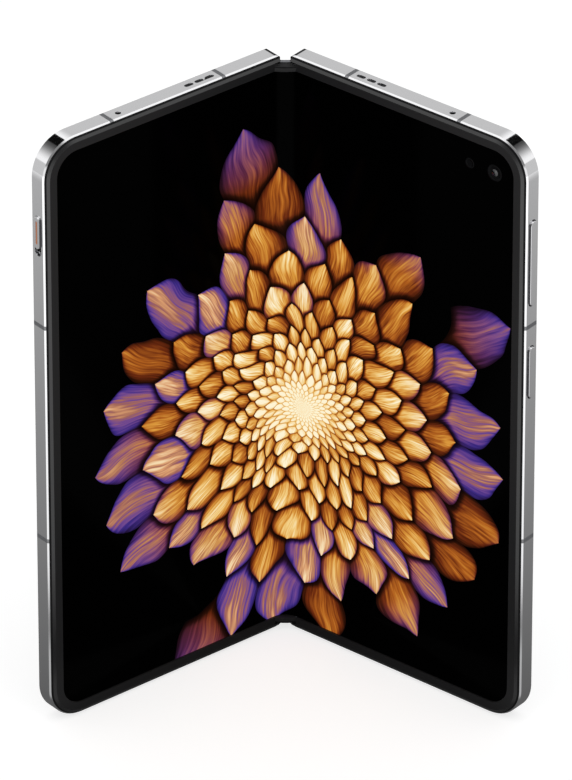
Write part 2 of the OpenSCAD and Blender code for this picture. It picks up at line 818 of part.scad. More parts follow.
inner_cam_box = 3;
inner_cam_depth = 3;
module inner_camera()
    color(glassy) on_right() {
        pin(half_w - inner_cam_x, height - inner_cam_z, inner_cam_r - slip, display_front + slip,
            plate_back + slip);
        soft_box(half_w - inner_cam_x - inner_cam_box, half_w - inner_cam_x + inner_cam_box,
            height - inner_cam_z - inner_cam_box, height - inner_cam_z + inner_cam_box,
            plate_back, plate_back + inner_cam_depth, lens_box_r);
    }
sensor_box = 1.8;
sensor_depth = 0.9;
module light_sensor()
    color(glassy) on_right() {
        pin(half_w - sensor_x, height - inner_cam_z, sensor_r - slip, display_front + slip,
            plate_back + slip);
        soft_box(half_w - sensor_x - sensor_box, half_w - sensor_x + sensor_box,
            height - inner_cam_z - sensor_box, height - inner_cam_z + sensor_box,
            plate_back, plate_back + sensor_depth, lens_box_r / 2);
    }

module at_lenses()
    for (p = lens_places)
        translate([island_mid_x + p[0] * lens_step, 0, island_mid_z + p[1] * lens_step]) children();
module at_flash() translate([island_mid_x + lens_step, 0, island_mid_z - lens_step]) children();

barrel_r = 4.6;
ring_wall = 0.7;
glass_r = lens_r - ring_wall;
flash_r = 2.2;
flash_lip = 0.8;
flash_seat = 2.4;
module_r = 0.8;
island_back = half_t + island_h;
ring_h = 0.7;
module back_cover()
    color(glassy) on_right() difference() {
        slab(back_front, half_t) recess_outline(fit_gap);
        at_lenses() pin(0, 0, barrel_r + fit_gap, 0, half_t + beyond);
        at_flash() pin(0, 0, flash_r + fit_gap, 0, half_t + beyond);
    }
module camera_island()
    color(silver) on_right() difference() {
        slab(half_t, island_back)
            translate([island_mid_x, island_mid_z]) soft_rect(island_w, island_w, island_r);
        at_lenses() pin(0, 0, barrel_r + fit_gap, 0, island_back + beyond);
        at_flash() pin(0, 0, flash_r + fit_gap, 0, island_back + beyond);
    }
module camera_rings()
    color(steel) on_right() at_lenses() difference() {
        pin(0, 0, lens_r, island_back, island_back + ring_h);
        pin(0, 0, glass_r, island_back - beyond, island_back + ring_h + beyond);
    }
module camera_glasses()
    color(glassy) on_right() at_lenses()
        pin(0, 0, glass_r - slip, island_back + slip, island_back + ring_h - layer_gap);
module camera_modules()
    color(dark) on_right() at_lenses() {
        slab(plate_back, back_front - layer_gap)
            soft_rect(2 * module_half, 2 * module_half, module_r);
        pin(0, 0, barrel_r, back_front - 2 * layer_gap, island_back);
    }
module flash_lamp()
    color([0.9, 0.85, 0.6]) on_right() at_flash() {
        pin(0, 0, flash_r, back_front - 2 * layer_gap, island_back - layer_gap);
        pin(0, 0, flash_r + flash_lip, flash_seat, back_front - layer_gap);
    }

// ---- left and right pieces -----------------------------------------------

module left_frame() on_left() frame(-1);
module right_frame() on_right() frame(1);
module left_rim() on_left() rim();
module right_rim() on_right() rim();
module left_display() on_left() display_panel(-1);
module right_display() on_right() display_panel(1);
module left_hinge_arms() on_left() arms(-1);
module right_hinge_arms() on_right() arms(1);
module left_hinge_screws() on_left() hinge_screws(-1);
module right_hinge_screws() on_right() hinge_screws(1);
module left_antenna_inserts() on_left() antenna_inserts();
module right_antenna_inserts() on_right() antenna_inserts();
module left_meshes() on_left() meshes();
module right_meshes() on_right() meshes();
module left_magnets() on_left() magnets();
module right_magnets() on_right() magnets();

hinge_spine();
spine_end_caps();
hinge_brackets();
display_fold();
fold_guards();
left_frame();
left_rim();
left_display();
left_hinge_arms();
left_hinge_screws();
left_antenna_inserts();
left_meshes();
left_battery();
left_board();
left_speaker();
left_magnets();
cover_glass();
cover_display();
cover_camera();
mute_slider();
mute_inlay();
mute_switch();
card_tray();
card_reader();
right_frame();
right_rim();
right_display();
right_hinge_arms();
right_hinge_screws();
right_antenna_inserts();
right_meshes();
right_battery();
main_board();
processor_shield();
board_screws();
right_speaker();
right_magnets();
charging_coil();
charging_port();
vibration_motor();
inner_camera();
light_sensor();
back_cover();
camera_island();
camera_rings();
camera_glasses();
camera_modules();
flash_lamp();
volume_key();
power_key();
key_switches();
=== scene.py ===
import json
import math

import bmesh
import bpy
from mathutils import Matrix, Vector


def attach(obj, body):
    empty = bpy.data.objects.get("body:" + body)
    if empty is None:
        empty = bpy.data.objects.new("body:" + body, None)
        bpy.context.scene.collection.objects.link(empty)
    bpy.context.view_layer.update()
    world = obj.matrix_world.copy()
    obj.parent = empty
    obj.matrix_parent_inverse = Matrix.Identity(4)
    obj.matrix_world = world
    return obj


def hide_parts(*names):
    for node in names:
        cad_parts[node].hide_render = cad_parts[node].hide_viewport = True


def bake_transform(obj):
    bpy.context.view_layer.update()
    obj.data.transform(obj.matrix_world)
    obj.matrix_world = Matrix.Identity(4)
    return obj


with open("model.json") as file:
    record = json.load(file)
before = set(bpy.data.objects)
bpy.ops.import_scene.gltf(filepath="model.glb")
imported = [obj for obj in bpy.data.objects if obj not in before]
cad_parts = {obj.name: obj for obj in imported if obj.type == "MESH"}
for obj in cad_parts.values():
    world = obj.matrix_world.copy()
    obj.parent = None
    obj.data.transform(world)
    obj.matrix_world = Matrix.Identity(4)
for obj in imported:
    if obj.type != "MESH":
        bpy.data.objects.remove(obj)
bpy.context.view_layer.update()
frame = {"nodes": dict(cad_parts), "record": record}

bodies = frame["record"]["behaviour"]["bodies"]
bodyOf = {node: body for body, nodes in bodies.items() for node in nodes}
mm = 0.001

# The sizes of the solid that the added pieces follow, in millimetres and degrees
phone = {"height": 160.0, "restAngle": 39.0, "axisX": 1.85, "axisY": 1.8, "shift": 19.3403,
         "bendRadius": 4.5, "bendY": -4.1651, "bendX": 4.1662, "screenDepth": 0.3,
         "screenEnd": 3.59}


# Takes a half's flat millimetres to metres in the row; side is 1 on the right, -1 on the left
def halfMatrix(side):
    axis = Vector((phone["axisX"], phone["axisY"], 0))
    turn = (Matrix.Translation(axis + Vector((0, phone["shift"], 0)))
            @ Matrix.Rotation(-math.radians(phone["restAngle"]), 4, "Z")
            @ Matrix.Translation(-axis))
    return Matrix.Scale(mm, 4) @ Matrix.Diagonal((side, 1, 1, 1)) @ turn


def hexColour(text):
    channels = [int(text[i:i + 2], 16) / 255 for i in (1, 3, 5)]
    return [c / 12.92 if c <= 0.04045 else ((c + 0.055) / 1.055) ** 2.4 for c in channels] + [1.0]


# Adds a node; an input may be a value, a socket, or a node whose first output is linked
def addNode(tree, kind, inputs=None, stops=(), **settings):
    node = tree.nodes.new(kind)
    for name, value in settings.items():
        setattr(node, name, value)
    for name, value in (inputs or {}).items():
        source = value.outputs[0] if isinstance(value, bpy.types.Node) else value
        if isinstance(source, bpy.types.NodeSocket):
            tree.links.new(source, node.inputs[name])
        else:
            node.inputs[name].default_value = source
    for index, (position, colour) in enumerate(stops):
        elements = node.color_ramp.elements
        element = elements[index] if index < len(elements) else elements.new(position)
        element.position, element.color = position, hexColour(colour)
    return node


def newMaterial(name):
    material = bpy.data.materials.new(name)
    material.use_nodes = True
    tree = material.node_tree
    tree.nodes.clear()
    shader = addNode(tree, "ShaderNodeBsdfPrincipled")
    addNode(tree, "ShaderNodeOutputMaterial", {"Surface": shader})
    return material, tree, shader


def setInputs(tree, shader, values):
    for name, value in values.items():
        if isinstance(value, bpy.types.NodeSocket):
            tree.links.new(value, shader.inputs[name])
        else:
            shader.inputs[name].default_value = value


# Sizes in millimetres: clouds are the slow drift of the gloss from place to place
texture = {"speckDetail": 3.0, "cloudSize": 25.0, "cloudDetail": 2.0, "cloudLow": 0.3,
           "cloudHigh": 0.7}


# A finish: two near tones mixed over a grain in millimetres, and a gloss that drifts more slowly
def finishMaterial(name, tones, gloss, grain, relief=0.0, stretch=(1, 1, 1), **shaderValues):
    material, tree, shader = newMaterial(name)
    place = addNode(tree, "ShaderNodeTexCoord").outputs["Object"]
    drawn = addNode(tree, "ShaderNodeMapping", {"Vector": place, "Scale": stretch})
    speck = addNode(tree, "ShaderNodeTexNoise", {
        "Vector": drawn, "Scale": 1 / (grain * mm), "Detail": texture["speckDetail"]})
    cloud = addNode(tree, "ShaderNodeTexNoise", {
        "Vector": place, "Scale": 1 / (texture["cloudSize"] * mm),
        "Detail": texture["cloudDetail"]})
    tone = addNode(tree, "ShaderNodeMix", {"Factor": speck, "A": hexColour(tones[0]),
                                           "B": hexColour(tones[1])}, data_type="RGBA")
    sheen = addNode(tree, "ShaderNodeMapRange", {
        "Value": cloud, "From Min": texture["cloudLow"], "From Max": texture["cloudHigh"],
        "To Min": gloss[0], "To Max": gloss[1]})
    setInputs(tree, shader, {"Base Color": tone.outputs["Result"],
                             "Roughness": sheen.outputs[0], **shaderValues})
    if relief:
        bump = addNode(tree, "ShaderNodeBump", {"Height": speck, "Distance": relief * mm})
        tree.links.new(bump.outputs[0], shader.inputs["Normal"])
    return material


print("finishes")
finishes = {
    # Pale anodised frame: soft bands of the room, drawn out along the edge
    "satinAluminium": dict(tones=("#ededee", "#e7e7e9"), gloss=(0.06, 0.1), grain=0.12,
                           relief=0.0005, stretch=(1, 1, 0.05), Metallic=1.0),
    # Bright turned rings round the lenses: a sharper, whiter glint than the frame
    "polishedSteel": dict(tones=("#dfe0e2", "#d8d9dc"), gloss=(0.07, 0.11), grain=0.2,
                          Metallic=1.0),
    # Front of the raised rim: near black, matt, with a fine moulded tooth
    "mouldedRimPlastic": dict(tones=("#242425", "#1f1f20"), gloss=(0.34, 0.42), grain=0.15,
                              relief=0.003, **{"Specular IOR Level": 0.15}),
    # Sloped flank of the rim: the same black but silkier, so that it greys in the light
    "silkyRimPlastic": dict(tones=("#1e1e1f", "#1a1a1b"), gloss=(0.2, 0.26), grain=0.15,
                            relief=0.001, **{"Specular IOR Level": 0.62}),
    # Foot of the flank and grooves of the guards: a thin black line, painted shade in the gap and
    # in the grooves
    "shadowLineBlack": dict(tones=("#171718", "#141415"), gloss=(0.5, 0.6), grain=0.15,
                         **{"Specular IOR Level": 0.1}),
    # Strips that part the frame: dull mid grey beside the bright metal
    "mouldedAntennaPlastic": dict(tones=("#707174", "#67686b"), gloss=(0.42, 0.5), grain=0.1,
                                  relief=0.002),
    # The same strips where they cross the bevel: paler, a painted highlight where the bevel
    # catches the light
    "antennaPaintedHighlight": dict(tones=("#9a9b9e", "#909194"), gloss=(0.3, 0.38), grain=0.1),
    # Soft lips at both ends of the bend: a shade duller than the rim
    "softGuardRubber": dict(tones=("#232324", "#1f1f20"), gloss=(0.46, 0.54), grain=0.12,
                            relief=0.003, **{"Specular IOR Level": 0.2}),
    # Faces in front of each key and the slider: a thin grey line of painted shade
    "keyFrontShade": dict(tones=("#606063", "#57575a"), gloss=(0.5, 0.6), grain=0.1,
                    **{"Specular IOR Level": 0.2}),
    # Plate behind the display: dull black, so that no picture glows from behind
    "blackenedSteel": dict(tones=("#1b1b1d", "#161618"), gloss=(0.4, 0.5), grain=0.3,
                           Metallic=1.0),
    # Inside mouldings: dark and matt, so that the openings read as deep
    "blackNylon": dict(tones=("#151516", "#101011"), gloss=(0.45, 0.55), grain=0.2, relief=0.004),
    # Mesh behind the sound slots: dark threads with small bright knots
    "wovenMesh": dict(tones=("#3a3b3d", "#161617"), gloss=(0.4, 0.5), grain=0.2, relief=0.02,
                      Metallic=1.0),
    # Spine, arms and rails: greyer than the frame, with a grain along the rolling
    "rolledSteel": dict(tones=("#96989c", "#8c8e92"), gloss=(0.24, 0.32), grain=0.25, relief=0.001,
                        stretch=(1, 1, 0.1), Metallic=1.0),
    # Shield cans and port shell: pale, slightly cloudy tin
    "tinnedSteel": dict(tones=("#a6a8ab", "#9b9da0"), gloss=(0.3, 0.4), grain=0.3, relief=0.001,
                        Metallic=1.0),
    # Battery pouch: dark foil with a faint wrinkle
    "pouchFoil": dict(tones=("#303236", "#2a2c30"), gloss=(0.34, 0.46), grain=0.8, relief=0.01),
    # Circuit boards: deep green lacquer
    "epoxyBoard": dict(tones=("#17402c", "#123625"), gloss=(0.35, 0.45), grain=0.4, relief=0.004),
    # Charging coil: warm brown metal
    "copperFilm": dict(tones=("#c98a5e", "#bd7d52"), gloss=(0.26, 0.34), grain=0.2, relief=0.002,
                       Metallic=1.0),
    # Inlay of the slider: a clear orange line on the silver
    "orangeInlay": dict(tones=("#d08a66", "#c87f5b"), gloss=(0.35, 0.41), grain=0.1, relief=0.001),
    # Back panel: blue-grey frosted glass with a silky veil of light
    "frostedBackGlass": dict(tones=("#8b9096", "#858a90"), gloss=(0.27, 0.33), grain=0.06,
                             relief=0.0008, Metallic=0.35),
    # Cover display and lens cover plates: black mirror
    "coverGlass": dict(tones=("#060607", "#050506"), gloss=(0.04, 0.08), grain=2.0),
    # Windows in the inner display: barely paler than the dark screen round them
    "darkWindowGlass": dict(tones=("#09090b", "#070709"), gloss=(0.06, 0.1), grain=1.0,
                            **{"Specular IOR Level": 0.05}),
    # Steps round those windows: one thin ring a little paler than the glass
    "windowRing": dict(tones=("#0e0e0f", "#0c0c0d"), gloss=(0.5, 0.6), grain=0.15,
                       **{"Specular IOR Level": 0.1}),
    # Lens barrels behind the glass: charcoal steps that catch a thin ring of light
    "barrelBlack": dict(tones=("#1b1c1e", "#151617"), gloss=(0.28, 0.34), grain=0.3),
    # Front elements: dark glass with a cold violet-green coating
    "coatedLensGlass": dict(tones=("#0b1210", "#0d0b16"), gloss=(0.03, 0.05), grain=1.2,
                            **{"Coat Weight": 1.0, "Coat Roughness": 0.03}),
    # Flash: warm cream phosphor under ribbed plastic
    "lampPhosphor": dict(tones=("#e9dcae", "#e2d29a"), gloss=(0.22, 0.3), grain=0.3, relief=0.004),
}
finish = {name: finishMaterial(name, **settings) for name, settings in finishes.items()}

# The lit picture: one large flower of amber petals that turn violet outwards, on black
# Its places are on the piece's own UV, in tenths of metres from the fold and the lower edge
bloom = {"centre": (0.05, 0.655, 0.0), "tall": 1.06, "petals": 26, "rows": 4.6, "reach": 0.53,
         "inmost": 0.03, "wobble": 4.5, "ragged": 0.045, "tip": 0.78, "tipPoint": 2.2,
         "tipSoftness": 0.004, "cup": 0.85, "footLight": 0.22, "riseLight": 0.42,
         "veinsAcross": 22.0, "veinsAlong": 1.3, "veinChange": 90.0, "veinContrast": 1.7,
         "veinLight": 0.15, "petalContrast": 0.75, "petalLight": 0.62, "shadeReach": 0.3,
         "shadeLevel": 0.08, "heartReach": 0.16, "heartLight": 0.55, "innerPlace": 0.1,
         "outerPlace": 0.6, "innerLevel": 1.1, "outerLevel": 0.6, "gapChance": 1.5,
         "gapFrom": 0.2, "violetChance": 0.42, "violetFrom": 0.6, "violetTo": 0.8,
         "strength": 1.0, "gloss": 0.08, "mirror": 0.008}


def displayMaterial():
    material, tree, shader = newMaterial("litDisplayGlass")
    uv = addNode(tree, "ShaderNodeUVMap", uv_map="screen")
    wobble = addNode(tree, "ShaderNodeTexNoise", {"Vector": uv, "Scale": bloom["wobble"],
                                                  "Detail": 1.5},
                     noise_dimensions="2D").outputs["Color"]
    bend = addNode(tree, "ShaderNodeVectorMath", {0: wobble, 1: (0.5, 0.5, 0.5)},
                   operation="SUBTRACT")
    pull = addNode(tree, "ShaderNodeVectorMath", {0: bend, "Scale": bloom["ragged"] * 2},
                   operation="SCALE")
    place = addNode(tree, "ShaderNodeVectorMath", {0: uv, 1: pull}, operation="ADD")
    away = addNode(tree, "ShaderNodeVectorMath", {0: place, 1: bloom["centre"]},
                   operation="SUBTRACT")
    flat = addNode(tree, "ShaderNodeVectorMath", {0: away, 1: (1, 1 / bloom["tall"], 0)},
                   operation="MULTIPLY")
    radius = addNode(tree, "ShaderNodeVectorMath", {0: flat}, operation="LENGTH").outputs["Value"]
    parts = addNode(tree, "ShaderNodeSeparateXYZ", {0: flat}).outputs
    turn = addNode(tree, "ShaderNodeMath", {0: parts["Y"], 1: parts["X"]}, operation="ARCTAN2")
    around = addNode(tree, "ShaderNodeMath", {0: turn, 1: bloom["petals"] / math.tau},
                     operation="MULTIPLY")
    # Rows of petals grow with the distance from the middle
    outwards = addNode(tree, "ShaderNodeMath", {0: radius, 1: 1 / bloom["reach"],
                                                2: bloom["inmost"]}, operation="MULTIPLY_ADD")
    logOut = addNode(tree, "ShaderNodeMath", {0: outwards, 1: math.e}, operation="LOGARITHM")
    rows = addNode(tree, "ShaderNodeMath", {0: logOut, 1: bloom["rows"]}, operation="MULTIPLY")
    row = addNode(tree, "ShaderNodeMath", {0: rows}, operation="FLOOR")
    along = addNode(tree, "ShaderNodeMath", {0: rows, 1: row}, operation="SUBTRACT")
    tip = addNode(tree, "ShaderNodeMath", {0: along, 1: 1 / bloom["tip"]}, operation="MULTIPLY")
    tipCurve = addNode(tree, "ShaderNodeMath", {0: tip, 1: bloom["tipPoint"]}, operation="POWER")
    tipWidth = addNode(tree, "ShaderNodeMath", {0: tipCurve, 1: -0.5, 2: 0.5},
                       operation="MULTIPLY_ADD")
    lights, chances, edges, owners = [], [], [], []
    for step in (0, 1):  # the petal below, then the tip of the one above it
        owner = addNode(tree, "ShaderNodeMath", {0: row, 1: step}, operation="SUBTRACT")
        shifted = addNode(tree, "ShaderNodeMath", {0: owner, 1: 0.5, 2: around},
                          operation="MULTIPLY_ADD")
        number = addNode(tree, "ShaderNodeMath", {0: shifted}, operation="FLOOR")
        inCell = addNode(tree, "ShaderNodeMath", {0: shifted, 1: number}, operation="SUBTRACT")
        across = addNode(tree, "ShaderNodeMath", {0: inCell, 1: 0.5}, operation="SUBTRACT")
        aside = addNode(tree, "ShaderNodeMath", {0: across}, operation="ABSOLUTE")
        width = tipWidth if step else 0.5
        edge = addNode(tree, "ShaderNodeMath", {0: width, 1: aside}, operation="SUBTRACT")
        number = addNode(tree, "ShaderNodeMath", {0: number, 1: bloom["petals"]},
                         operation="FLOORED_MODULO")
        petal = addNode(tree, "ShaderNodeCombineXYZ", {0: number, 1: owner})
        chance = addNode(tree, "ShaderNodeTexWhiteNoise", {"Vector": petal},
                         noise_dimensions="2D").outputs["Value"]
        # Cupped petals: bright along the middle, dark at the sides and at the foot
        share = addNode(tree, "ShaderNodeMath", {0: aside, 1: width}, operation="DIVIDE")
        hollow = addNode(tree, "ShaderNodeMath", {0: share, 1: 2.0}, operation="POWER")
        cup = addNode(tree, "ShaderNodeMath", {0: hollow, 1: -bloom["cup"], 2: 1.0},
                      operation="MULTIPLY_ADD", use_clamp=True)
        foot = bloom["footLight"] + bloom["riseLight"] * step
        reach = addNode(tree, "ShaderNodeMath", {0: along, 1: bloom["riseLight"], 2: foot},
                        operation="MULTIPLY_ADD")
        veinPlace = addNode(tree, "ShaderNodeCombineXYZ", {
            slot: addNode(tree, "ShaderNodeMath", {0: source, 1: scale}, operation="MULTIPLY")
            for slot, source, scale in ((0, across, bloom["veinsAcross"]),
                                        (1, rows, bloom["veinsAlong"]),
                                        (2, chance, bloom["veinChange"]))})
        vein = addNode(tree, "ShaderNodeTexNoise", {"Vector": veinPlace, "Scale": 1.0,
                                                    "Detail": 2.0})
        veins = addNode(tree, "ShaderNodeMath", {
            0: vein, 1: bloom["veinContrast"], 2: bloom["veinLight"]}, operation="MULTIPLY_ADD")
        level = addNode(tree, "ShaderNodeMath", {
            0: chance, 1: bloom["petalContrast"], 2: bloom["petalLight"]},
                        operation="MULTIPLY_ADD")
        light = cup
        for factor in (reach, veins, level):
            light = addNode(tree, "ShaderNodeMath", {0: light, 1: factor}, operation="MULTIPLY")
        lights.append(light)
        chances.append(chance)
        edges.append(edge)
        owners.append(owner)
    # The upper tips throw a shade on the petals below them
    shade = addNode(tree, "ShaderNodeMapRange", {
        "Value": edges[1], "From Min": -bloom["shadeReach"], "From Max": 0.0, "To Min": 1.0,
        "To Max": bloom["shadeLevel"]}, interpolation_type="SMOOTHSTEP")
    below = addNode(tree, "ShaderNodeMath", {0: lights[0], 1: shade}, operation="MULTIPLY")
    onTop = addNode(tree, "ShaderNodeMapRange", {
        "Value": edges[1], "From Min": -bloom["tipSoftness"], "From Max": bloom["tipSoftness"]})
    light, chance, owner = [addNode(tree, "ShaderNodeMix", {"Factor": onTop, "A": low, "B": high})
                            for low, high in ((below, lights[1]), chances, owners)]
    # The heart of the flower is filled with light, which falls off towards its rim
    heart = addNode(tree, "ShaderNodeMapRange", {
        "Value": radius, "From Min": bloom["heartReach"], "From Max": 0.0,
        "To Max": bloom["heartLight"]}, interpolation_type="SMOOTHSTEP")
    light = addNode(tree, "ShaderNodeMath", {0: light, 1: heart}, operation="ADD")
    outerShade = addNode(tree, "ShaderNodeMapRange", {
        "Value": radius, "From Min": bloom["innerPlace"], "From Max": bloom["outerPlace"],
        "To Min": bloom["innerLevel"], "To Max": bloom["outerLevel"]})
    light = addNode(tree, "ShaderNodeMath", {0: light, 1: outerShade}, operation="MULTIPLY")
    # The last row has gaps
    last = addNode(tree, "ShaderNodeMath", {0: chance, 1: bloom["gapChance"], 2: owner},
                   operation="MULTIPLY_ADD")
    kept = addNode(tree, "ShaderNodeMath", {0: last, 1: bloom["gapFrom"]}, operation="LESS_THAN")
    amber = addNode(tree, "ShaderNodeValToRGB", {"Fac": light}, stops=[
        (0.0, "#060201"), (0.08, "#2b1006"), (0.2, "#6a2a10"), (0.34, "#b0601f"),
        (0.5, "#dc9a3e"), (0.7, "#f3cd80"), (1.0, "#fff4d4")])
    violet = addNode(tree, "ShaderNodeValToRGB", {"Fac": light}, stops=[
        (0.0, "#040208"), (0.07, "#1c0f30"), (0.2, "#3b2a80"), (0.34, "#6c4690"),
        (0.5, "#a06458"), (0.72, "#dca070"), (1.0, "#f6dcb0")])
    outer = addNode(tree, "ShaderNodeMath", {0: chance, 1: bloom["violetChance"], 2: radius},
                    operation="MULTIPLY_ADD")
    cooled = addNode(tree, "ShaderNodeMapRange", {
        "Value": outer, "From Min": bloom["violetFrom"], "From Max": bloom["violetTo"]},
                     interpolation_type="SMOOTHSTEP")
    petals = addNode(tree, "ShaderNodeMix", {"Factor": cooled, "A": amber, "B": violet},
                     data_type="RGBA").outputs["Result"]
    picture = addNode(tree, "ShaderNodeMix", {"Factor": kept, "A": (0, 0, 0, 1), "B": petals},
                      data_type="RGBA").outputs["Result"]
    setInputs(tree, shader, {"Base Color": hexColour("#010101"), "Roughness": bloom["gloss"],
                             "Specular IOR Level": bloom["mirror"], "Emission Color": picture,
                             "Emission Strength": bloom["strength"]})
    return material


litScreen = displayMaterial()  # black glass whose picture gives its own light


# How every piece is worked: distances in millimetres, angles in degrees, facing a cosine
making = {"merge": 0.0002, "cutMerge": 0.00001, "flatAngle": 0.6, "sharpAngle": 25.0,
          "smoothAngle": 35.0, "levelGap": 0.002, "wall": 0.02, "facing": 0.999,
          "windowSides": 40}


# Makes the object from a finished bmesh in row metres
def newPiece(name, bm, materials, body=None):
    for face in bm.faces:
        face.smooth = True
    for edge in bm.edges:
        edge.smooth = (len(edge.link_faces) == 2
                       and edge.calc_face_angle(0) < math.radians(making["smoothAngle"]))
    mesh = bpy.data.meshes.new(name)
    bm.to_mesh(mesh)
    bm.free()
    for material in materials:
        mesh.materials.append(material)
    piece = bpy.data.objects.new(name, mesh)
    bpy.context.scene.collection.objects.link(piece)
    if body:
        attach(piece, body)
    return piece


# A solid's mesh with its doubles merged and its flat faces whole again
def solidMesh(node):
    bm = bmesh.new()
    bm.from_mesh(frame["nodes"][node].data)
    bmesh.ops.remove_doubles(bm, verts=bm.verts, dist=making["merge"] * mm)
    bmesh.ops.dissolve_limit(bm, angle_limit=math.radians(making["flatAngle"]), verts=bm.verts,
                             edges=bm.edges)
    bmesh.ops.recalc_face_normals(bm, faces=bm.faces)
    return bm


def sharpEdges(bm):
    return [edge for edge in bm.edges if len(edge.link_faces) == 2
            and edge.calc_face_angle(0) > math.radians(making["sharpAngle"])]


def breakEdges(bm, edgeList, width, segments=2):
    bmesh.ops.bevel(bm, geom=edgeList, offset=width * mm, affect="EDGES", segments=segments,
                    profile=0.5, material=-1, clamp_overlap=True)


def cutAcross(bm, point, direction, clearInner=False):
    bmesh.ops.bisect_plane(bm, geom=bm.verts[:] + bm.edges[:] + bm.faces[:],
                           dist=making["cutMerge"] * mm, plane_co=point, plane_no=direction,
                           clear_inner=clearInner)


# A copy of a solid with its edges broken by a small round, shown instead of it
# shape works on the mesh before the edges are broken, tint after it
def dress(node, pieceName, materials, width, segments=2, shape=None, tint=None):
    bm = solidMesh(node)
    if shape:
        shape(bm)
    breakEdges(bm, sharpEdges(bm), width, segments)
    if tint:
        tint(bm)
    piece = newPiece(pieceName, bm, materials, bodyOf[node])
    weighted = piece.modifiers.new("evenNormals", "WEIGHTED_NORMAL")
    weighted.keep_sharp = True
    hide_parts(node)
    return piece


# Works steps into the round windows that face one way: each step is inset, sink and material slot
def windowSteps(facing, steps):
    def shape(bm):
        flat = [face for face in bm.faces if face.normal.dot(facing) > making["facing"]]
        front = max(face.calc_center_median().dot(facing) for face in flat)
        windows = [face for face in flat if len(face.verts) >= making["windowSides"]
                   and face.calc_center_median().dot(facing) > front - making["levelGap"] * mm]
        for window in windows:
            for inset, sink, slot in steps:
                if inset:
                    ring = bmesh.ops.inset_region(bm, faces=[window], thickness=inset * mm,
                                                  use_even_offset=True)["faces"]
                    for face in ring:
                        face.material_index = slot
                if sink:
                    wall = bmesh.ops.inset_region(bm, faces=[window],
                                                  thickness=making["wall"] * mm,
                                                  depth=-sink * mm, use_even_offset=True)["faces"]
                    for face in wall:
                        face.material_index = slot
                window.material_index = slot
    return shape


def frontOf(side):
    return (halfMatrix(side).to_3x3() @ Vector((0, -1, 0))).normalized()


# How far faces lean to the front, as cosines: slopes, a display's back, and a key's painted shade
leans = {"slopeFrom": 0.3, "slopeTo": 0.97, "back": 0.3, "keyShade": 0.85}


# Gives sloped faces slot 1, and slot 2 to what lies deeper than a line round the piece
# On the rim, slot 2 below the line is painted shade at the foot of the flank
def slotsByLean(side, deep=None):
    def shape(bm):
        front = frontOf(side)
        if deep:
            line = halfMatrix(side) @ Vector((0, deep, 0))
            cutAcross(bm, line, front)
        for face in bm.faces:
            lean = face.normal.dot(front)
            if deep and (face.calc_center_median() - line).dot(front) < 0:
                face.material_index = 2
            elif leans["slopeFrom"] < lean < leans["slopeTo"]:
                face.material_index = 1
    return shape


# Gives slot 1 to the faces whose lean to the front is between two cosines
def slotWhereLean(front, low=-2, high=2):
    def tint(bm):
        for face in bm.faces:
            if low < face.normal.dot(front) < high:
                face.material_index = 1
    return tint


def screenUv(piece, placeOf):
    layer = piece.data.uv_layers.new(name="screen")
    for loop in piece.data.loops:
        layer.data[loop.index].uv = placeOf(piece.data.vertices[loop.vertex_index].co)


print("display")
sheet = {"panelEdge": 0.03, "steps": 24, "rows": 8}
screenParts = [litScreen, finish["blackenedSteel"]]
arcLength = phone["bendRadius"] * math.radians(phone["restAngle"])
for side, word in ((1, "right"), (-1, "left")):
    panel = dress(word + "_display", word + "Screen", screenParts, sheet["panelEdge"],
                  tint=slotWhereLean(frontOf(side), high=leans["back"]))
    back = halfMatrix(side).inverted()

    def panelUv(co, side=side, back=back):
        flat = back @ co
        return (side * (flat.x - phone["bendX"] + arcLength) / 100, flat.z / 100)
    screenUv(panel, panelUv)

    # The bent half of the sheet between the panel and the middle of the fold
    bm = bmesh.new()
    bmesh.ops.create_grid(bm, x_segments=sheet["steps"], y_segments=sheet["rows"], size=0.5)
    for vert in bm.verts:
        angle = (vert.co.x + 0.5) * math.radians(phone["restAngle"])
        z = phone["screenEnd"] + (vert.co.y + 0.5) * (phone["height"] - 2 * phone["screenEnd"])
        vert.co = Vector((side * phone["bendRadius"] * math.sin(angle),
                          phone["bendY"] + phone["bendRadius"] * math.cos(angle) + phone["shift"],
                          z)) * mm
    bmesh.ops.recalc_face_normals(bm, faces=bm.faces)
    if sum(face.normal.y for face in bm.faces) > 0:
        bmesh.ops.reverse_faces(bm, faces=bm.faces)
    bmesh.ops.solidify(bm, geom=bm.faces[:] + bm.edges[:] + bm.verts[:],
                       thickness=phone["screenDepth"] * mm)
    bm.normal_update()
    slotWhereLean(Vector((0, -1, 0)), high=leans["back"])(bm)
    piece = newPiece(word + "ScreenBend", bm, screenParts)

    def bendUv(co, side=side):
        angle = math.atan2(side * co.x / mm, co.y / mm - phone["shift"] - phone["bendY"])
        return (side * phone["bendRadius"] * angle / 100, co.z / mm / 100)
    screenUv(piece, bendUv)
    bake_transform(piece)
    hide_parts("display_fold")

print("guards")
